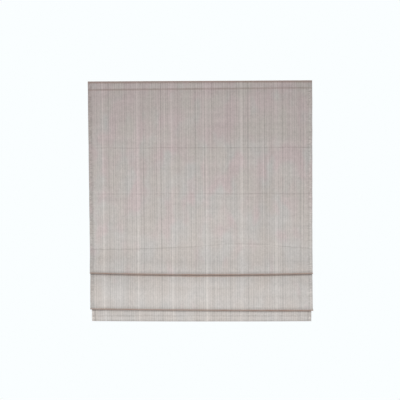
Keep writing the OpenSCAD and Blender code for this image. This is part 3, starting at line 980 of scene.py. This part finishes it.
def ring_ties(number, body):
    """Turns of thread round the front of each ring's wire and through the pocket ahead of it."""
    wire_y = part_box(f"rings_{number}")[0].y + wire_d / 2
    made = []
    bpy.ops.object.select_all(action="DESELECT")
    for x in cord_xs:
        for i in range(tie_count):
            sideways = (i - (tie_count - 1) / 2) * tie_step
            bpy.ops.mesh.primitive_torus_add(
                major_segments=18, minor_segments=6,
                major_radius=wire_d / 2 + thread_r, minor_radius=thread_r,
                location=(x + sideways, wire_y - tie_forward, rod_at[number].z),
                rotation=(0, math.pi / 2, tie_lean * (-1) ** i),
            )
            made.append(bpy.context.object)
    for piece in made:
        piece.select_set(True)
    bpy.ops.object.join()
    bpy.ops.object.transform_apply(location=True, rotation=True, scale=True)
    finish_thread(bpy.context.object, f"ring_ties_{number}", body)


for number in rod_numbers:
    ring_ties(number, rod_body[number])


# Lift cords
# Three braided polyester cords run from the drums down through the rings to the anchors on the last rod.
# Each is one cord, made here in the three lengths that the rods part it into, and the turns on its drum.
braid_pitch = 1.8 * MM


def braided_cord(name):
    material, place = start_finish(name)
    along, sideways = place.axis(2), place.axis(0)
    turn = 2 * math.pi / braid_pitch
    braid = place.math("SINE", along * turn + sideways * (2 * turn))
    braid = braid * place.math("SINE", along * turn - sideways * (2 * turn))
    fuzz = place.grain((1800, 1800, 1800), 1.0)
    pale = (0.5 + braid * 0.3 + (fuzz - 0.5) * 0.4).clipped()
    close_finish(
        place,
        Base_Color=pale.blend(rgb(214, 211, 203), rgb(247, 245, 240)),
        Roughness=0.8,
        Normal=(braid + fuzz).bump(0.4, 0.3 * MM),
    )
    return material


cord_finish = braided_cord("braided_cord")
cord_facets = 10
cord_r = (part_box("lift_cord_left")[1].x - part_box("lift_cord_left")[0].x) / 2


def finish_cord(piece, name):
    piece.name = piece.data.name = name
    piece.data.materials.append(cord_finish)
    bpy.ops.object.shade_smooth_by_angle(angle=math.radians(50))


def cord_length(name, x, y, top, bottom):
    """A straight run of cord between two heights, with a ring of points at its middle."""
    middle = (x, y, (top + bottom) / 2)
    bpy.ops.object.select_all(action="DESELECT")
    bpy.ops.mesh.primitive_cylinder_add(
        vertices=cord_facets, radius=cord_r, depth=top - bottom, location=middle,
    )
    bpy.ops.object.transform_apply(location=True, rotation=True, scale=True)
    bpy.ops.object.mode_set(mode="EDIT")
    bpy.ops.mesh.select_all(action="SELECT")
    bpy.ops.mesh.bisect(plane_co=middle, plane_no=(0, 0, 1))
    bpy.ops.object.mode_set(mode="OBJECT")
    piece = bpy.context.object
    finish_cord(piece, name)
    return piece


for side in sides:
    node = f"lift_cord_{side}"
    low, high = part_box(node)
    x, y = middle_of(node).xy
    upper = cord_length(f"{node}_upper", x, y, high.z, rod_at[3].z)
    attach(upper, "headrail")
    1 - lift_travel / (high.z - rod_at[3].z)
    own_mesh(upper)
    middle = cord_length(f"{node}_middle", x, y, rod_at[3].z, rod_at[4].z)
    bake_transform(middle)
    lower = cord_length(f"{node}_lower", x, y, rod_at[4].z, low.z)
    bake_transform(lower)
    for piece in (upper, middle, lower):
        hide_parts(node)

wound_low, wound_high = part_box("cord_windings")
shaft = middle_of("cord_windings")
wound_r = (wound_high.z - wound_low.z) / 2 - cord_r
wound_left = wound_low.x - cord_xs[0]
wound_span = wound_high.x - wound_low.x - (cord_xs[2] - cord_xs[0])
wound_turns = 2


def wound_cord(name, x):
    """The cord that is on a drum: its round section, screwed about the shaft."""
    bpy.ops.object.select_all(action="DESELECT")
    bpy.ops.mesh.primitive_circle_add(vertices=cord_facets, radius=cord_r)
    piece = bpy.context.object
    bpy.ops.object.mode_set(mode="EDIT")
    bpy.ops.transform.rotate(value=math.pi / 2, orient_axis="X", center_override=(0, 0, 0))
    bpy.ops.transform.translate(value=(0, 0, wound_r))
    bpy.ops.object.mode_set(mode="OBJECT")
    screw = piece.modifiers.new("turns", "SCREW")
    screw.axis = "X"
    screw.steps = screw.render_steps = 28
    screw.iterations = wound_turns
    screw.screw_offset = (wound_span - 2 * cord_r) / wound_turns
    bpy.ops.object.modifier_apply(modifier=screw.name)
    bpy.ops.object.mode_set(mode="EDIT")
    bpy.ops.mesh.select_all(action="SELECT")
    bpy.ops.mesh.fill_holes(sides=cord_facets)
    bpy.ops.mesh.select_all(action="SELECT")
    bpy.ops.mesh.normals_make_consistent(inside=False)
    bpy.ops.object.mode_set(mode="OBJECT")
    piece.location = (x + wound_left + cord_r, shaft.y, shaft.z)
    bpy.ops.object.transform_apply(location=True, rotation=True, scale=True)
    finish_cord(piece, name)
    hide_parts("cord_windings")
    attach(piece, "lift_shaft")


for side, x in zip(sides, cord_xs):
    wound_cord(f"wound_cord_{side}", x)


# Studio
# A pale floor well below the blind, which fades out at its edges, and a white surround that gives soft
# light, more from above. A gridded soft box high in front is aimed low, with a low fill and a lamp behind.
floor_drop = 0.75
floor_depth, floor_length = 4.4, 5.0
floor_y = -0.7
fade_from, fade_rate = 0.35, 1.7
bpy.ops.object.select_all(action="DESELECT")
bpy.ops.mesh.primitive_plane_add(size=1)
floor = bpy.context.object
floor.name = floor.data.name = "floor"
floor_place = Matrix.Translation((0, floor_y, bottom_z - floor_drop))
floor.data.transform(floor_place @ Matrix.Diagonal((floor_length, floor_depth, 1, 1)))


def pale_floor(name):
    """Pale boards, seen through towards the edges."""
    material, place = start_finish(name)
    sideways = place.axis(0) * (2 / floor_length)
    forwards = (place.axis(1) - floor_y) * (2 / floor_depth)
    reach = sideways * sideways + forwards * forwards
    faded = ((reach - fade_from) * fade_rate).clipped()
    cloudy = place.grain((3, 3, 3))
    board = place.node(
        "ShaderNodeBsdfPrincipled",
        inputs={"Base Color": cloudy.blend(rgb(232, 233, 234), rgb(240, 241, 242)), "Roughness": 0.9},
    )
    clear = place.node("ShaderNodeBsdfTransparent")
    surface = place.node("ShaderNodeMixShader", inputs={0: faded, 1: board, 2: clear})
    place.node("ShaderNodeOutputMaterial", inputs={"Surface": surface})
    return material


floor.data.materials.append(pale_floor("pale_floor"))

light_below, light_above = 0.16, 0.46
surround_white = (1.0, 0.965, 0.955, 1.0)
backdrop_white = rgb(250, 254, 255)
world = bpy.data.worlds.new("surround")
bpy.context.scene.world = world
world.use_nodes = True
tree = world.node_tree
tree.nodes.clear()
ray = tree.nodes.new("ShaderNodeLightPath").outputs
direct = Tone(tree, ray["Is Camera Ray"]) + Tone(tree, ray["Is Glossy Ray"])
direct = (direct + Tone(tree, ray["Is Transmission Ray"])).clipped()
upwards = Tone(tree, tree.nodes.new("ShaderNodeTexCoord").outputs["Generated"]).axis(2)
ambient = (upwards * 0.5 + 0.5) * (light_above - light_below) + light_below
surround = direct.node(
    "ShaderNodeBackground",
    inputs={
        "Color": direct.blend(surround_white, backdrop_white),
        "Strength": direct * (1 - ambient) + ambient,
    },
)
direct.node("ShaderNodeOutputWorld", inputs={"Surface": surround})

lamp_white = (0.965, 1.0, 1.0)


def lamp(name, place, target, size, spread, watts):
    """A soft box; a spread under 180 degrees narrows its beam, as a honeycomb grid does."""
    data = bpy.data.lights.new(name, "AREA")
    data.shape = "RECTANGLE"
    data.size, data.size_y = size
    data.spread = math.radians(spread)
    data.energy = watts
    data.color = lamp_white
    made = bpy.data.objects.new(name, data)
    made.location = place
    made.rotation_euler = (Vector(target) - Vector(place)).to_track_quat("-Z", "Y").to_euler()
    made.visible_camera = False
    bpy.context.scene.collection.objects.link(made)


lamp("front", (-0.15, -2.2, 0.35), (0, 0, -1.15), size=(3.0, 0.5), spread=108, watts=14)
lamp("low_front", (-0.1, -1.5, -1.45), (0, 0, -1.3), size=(2.4, 0.3), spread=80, watts=2.5)
lamp("behind", (0.4, 2.6, 0.6), (0, 0, -0.4), size=(2.0, 1.4), spread=180, watts=30)

camera_data = bpy.data.cameras.new("camera")
camera = bpy.data.objects.new("camera", camera_data)
bpy.context.scene.collection.objects.link(camera)
frame_px = 400
blind_px = 224.5
camera_yaw = math.radians(1.5)
camera_roll = math.radians(0.15)
camera_rise = 5.6 * MM
frame_width = cloth_w * frame_px / blind_px
camera_data.lens = 110
camera_data.sensor_width = 36
camera_data.clip_end = 50
distance = frame_width * camera_data.lens / camera_data.sensor_width
middle_z = (top_z + bottom_z) / 2
camera.location = (
    distance * math.sin(camera_yaw), cloth_y - distance * math.cos(camera_yaw), middle_z + camera_rise,
)
camera.rotation_euler = (math.pi / 2, camera_roll, camera_yaw)
bpy.context.scene.camera = camera
bpy.context.scene.view_settings.view_transform = "Standard"
